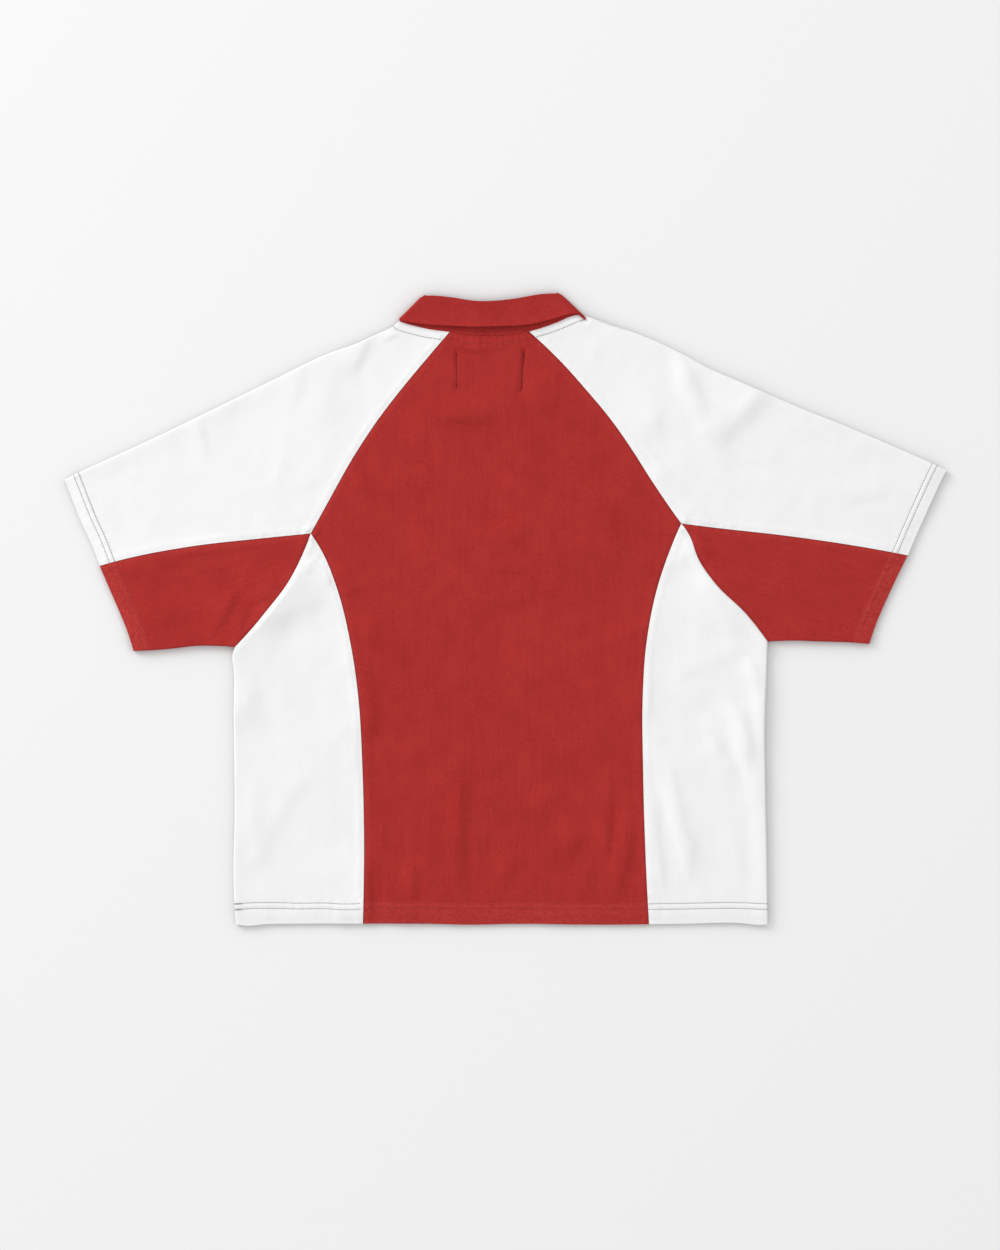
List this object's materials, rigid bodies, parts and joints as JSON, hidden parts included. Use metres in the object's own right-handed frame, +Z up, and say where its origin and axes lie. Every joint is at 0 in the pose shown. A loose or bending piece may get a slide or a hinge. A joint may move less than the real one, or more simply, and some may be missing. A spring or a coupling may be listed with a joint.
{
  "type": "polo shirt",
  "caption": "Short-sleeved raglan polo shirt in red and white cotton jersey, laid flat on its front with its back up and its knit collar folded over.",
  "frame": {"origin": "middle of the garment's outline, on the surface that it lies on", "axes": "+X to the right sleeve as seen from above, +Y towards the collar, +Z up out of the surface, towards the back of the shirt"},
  "size_m": [0.9866, 0.7077, 0.0094],
  "materials": {
    "red_jersey": "matte cotton jersey",
    "white_jersey": "matte cotton jersey",
    "red_rib": "matte rib knit",
    "red_thread": "sewing thread",
    "white_thread": "sewing thread",
    "button_red": "satin resin"
  },
  "bodies": {
    "root": {"back_panel": "red_jersey", "front_panel": "red_jersey", "side_panel_left": "white_jersey", "side_panel_right": "white_jersey", "upper_sleeve_left": "white_jersey", "upper_sleeve_right": "white_jersey", "lower_sleeve_left": "red_jersey", "lower_sleeve_right": "red_jersey", "collar": "red_rib", "placket_over": "red_jersey", "placket_under": "red_jersey", "button_1": "button_red", "button_2": "button_red", "button_3": "button_red"}
  },
  "joints": []
}
